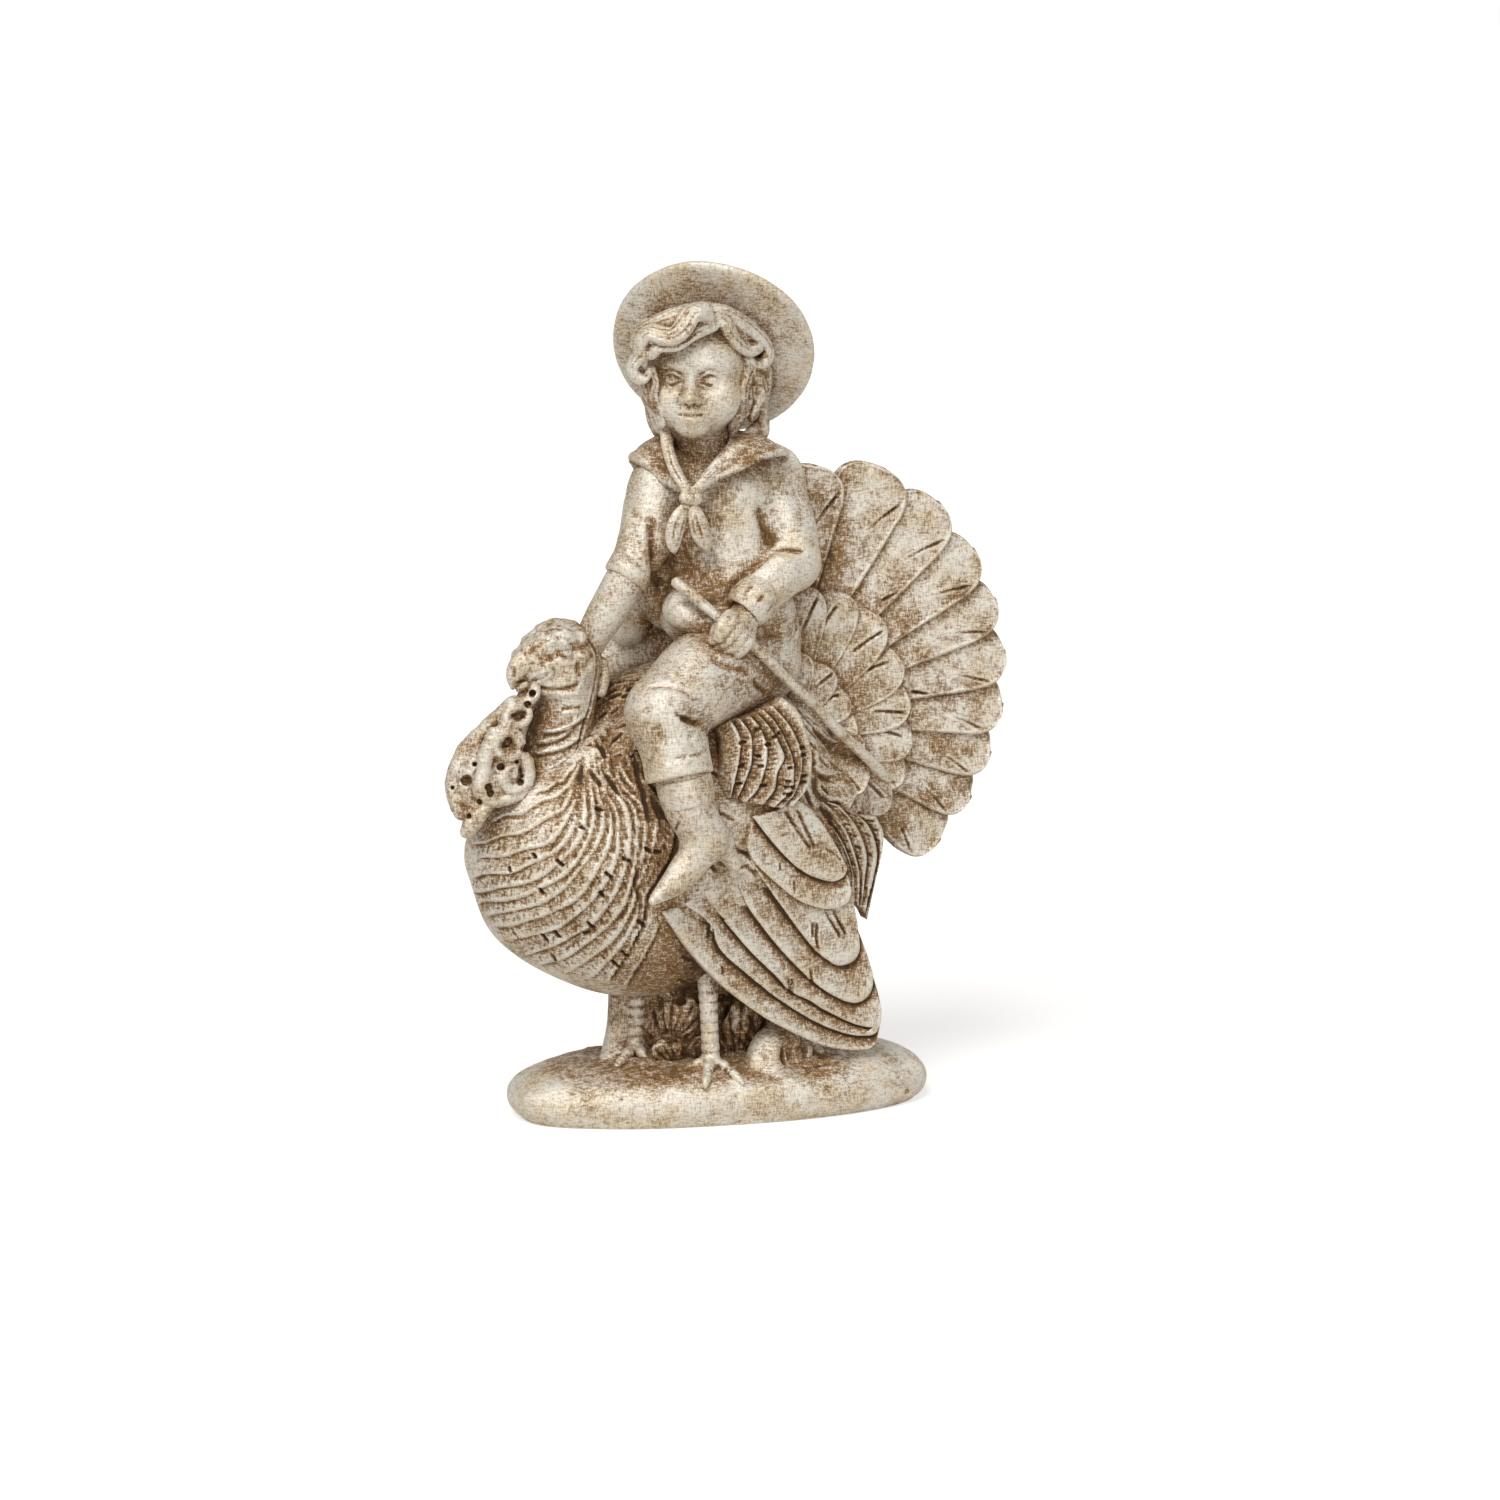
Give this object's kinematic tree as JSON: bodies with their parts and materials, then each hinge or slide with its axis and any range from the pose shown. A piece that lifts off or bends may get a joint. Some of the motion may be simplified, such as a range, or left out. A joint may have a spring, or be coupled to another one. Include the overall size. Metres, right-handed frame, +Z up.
{
  "type": "turkey and rider figurine",
  "caption": "Free-standing cast figurine of a child in a sailor blouse and wide hat riding a strutting turkey on an oval plinth, to stand on a shelf or table.",
  "frame": {"origin": "centre of the plinth's flat underside", "axes": "+Z up; -X the way the turkey faces; -Y toward the viewer of the pictured side, with the fan of the tail at +X"},
  "size_m": [0.1572, 0.0724, 0.2251],
  "materials": {
    "leafed_ground": "cast resin, champagne metal leaf rubbed back, brown wash in the hollows",
    "leafed_plumage": "cast resin, champagne metal leaf over a warm brown wash",
    "leafed_turkey_skin": "cast resin, thin metal leaf with much brown wash",
    "leafed_skin": "cast resin, champagne metal leaf rubbed smooth",
    "leafed_dress": "cast resin, champagne metal leaf, brown wash in the folds"
  },
  "bodies": {
    "root": {"plinth": "leafed_ground", "turkey_body": "leafed_plumage", "undergrowth": "leafed_ground", "ground_stone": "leafed_ground", "near_turkey_leg": "leafed_turkey_skin", "far_turkey_leg": "leafed_turkey_skin", "turkey_head": "leafed_turkey_skin", "turkey_beak": "leafed_turkey_skin", "turkey_wattles": "leafed_turkey_skin", "tail_fan": "leafed_plumage", "front_tail_coverts": "leafed_plumage", "front_inner_coverts": "leafed_plumage", "back_tail_coverts": "leafed_plumage", "back_inner_coverts": "leafed_plumage", "tail_fluff": "leafed_plumage", "riding_stick": "leafed_dress", "near_shoulder_feathers": "leafed_plumage", "near_upper_wing": "leafed_plumage", "near_lower_wing": "leafed_plumage", "far_shoulder_feathers": "leafed_plumage", "far_upper_wing": "leafed_plumage", "far_lower_wing": "leafed_plumage", "blouse": "leafed_dress", "near_thigh": "leafed_dress", "near_calf": "leafed_skin", "near_boot": "leafed_dress", "near_stocking": "leafed_dress", "far_thigh": "leafed_dress", "far_calf": "leafed_skin", "far_boot": "leafed_dress", "far_stocking": "leafed_dress", "rider_head": "leafed_skin", "rider_hair": "leafed_dress", "hat": "leafed_dress", "sailor_collar": "leafed_dress", "neckerchief": "leafed_dress", "resting_sleeve": "leafed_dress", "resting_arm": "leafed_skin", "holding_sleeve": "leafed_dress", "sleeve_cuff": "leafed_dress", "holding_fist": "leafed_skin"}
  },
  "joints": []
}
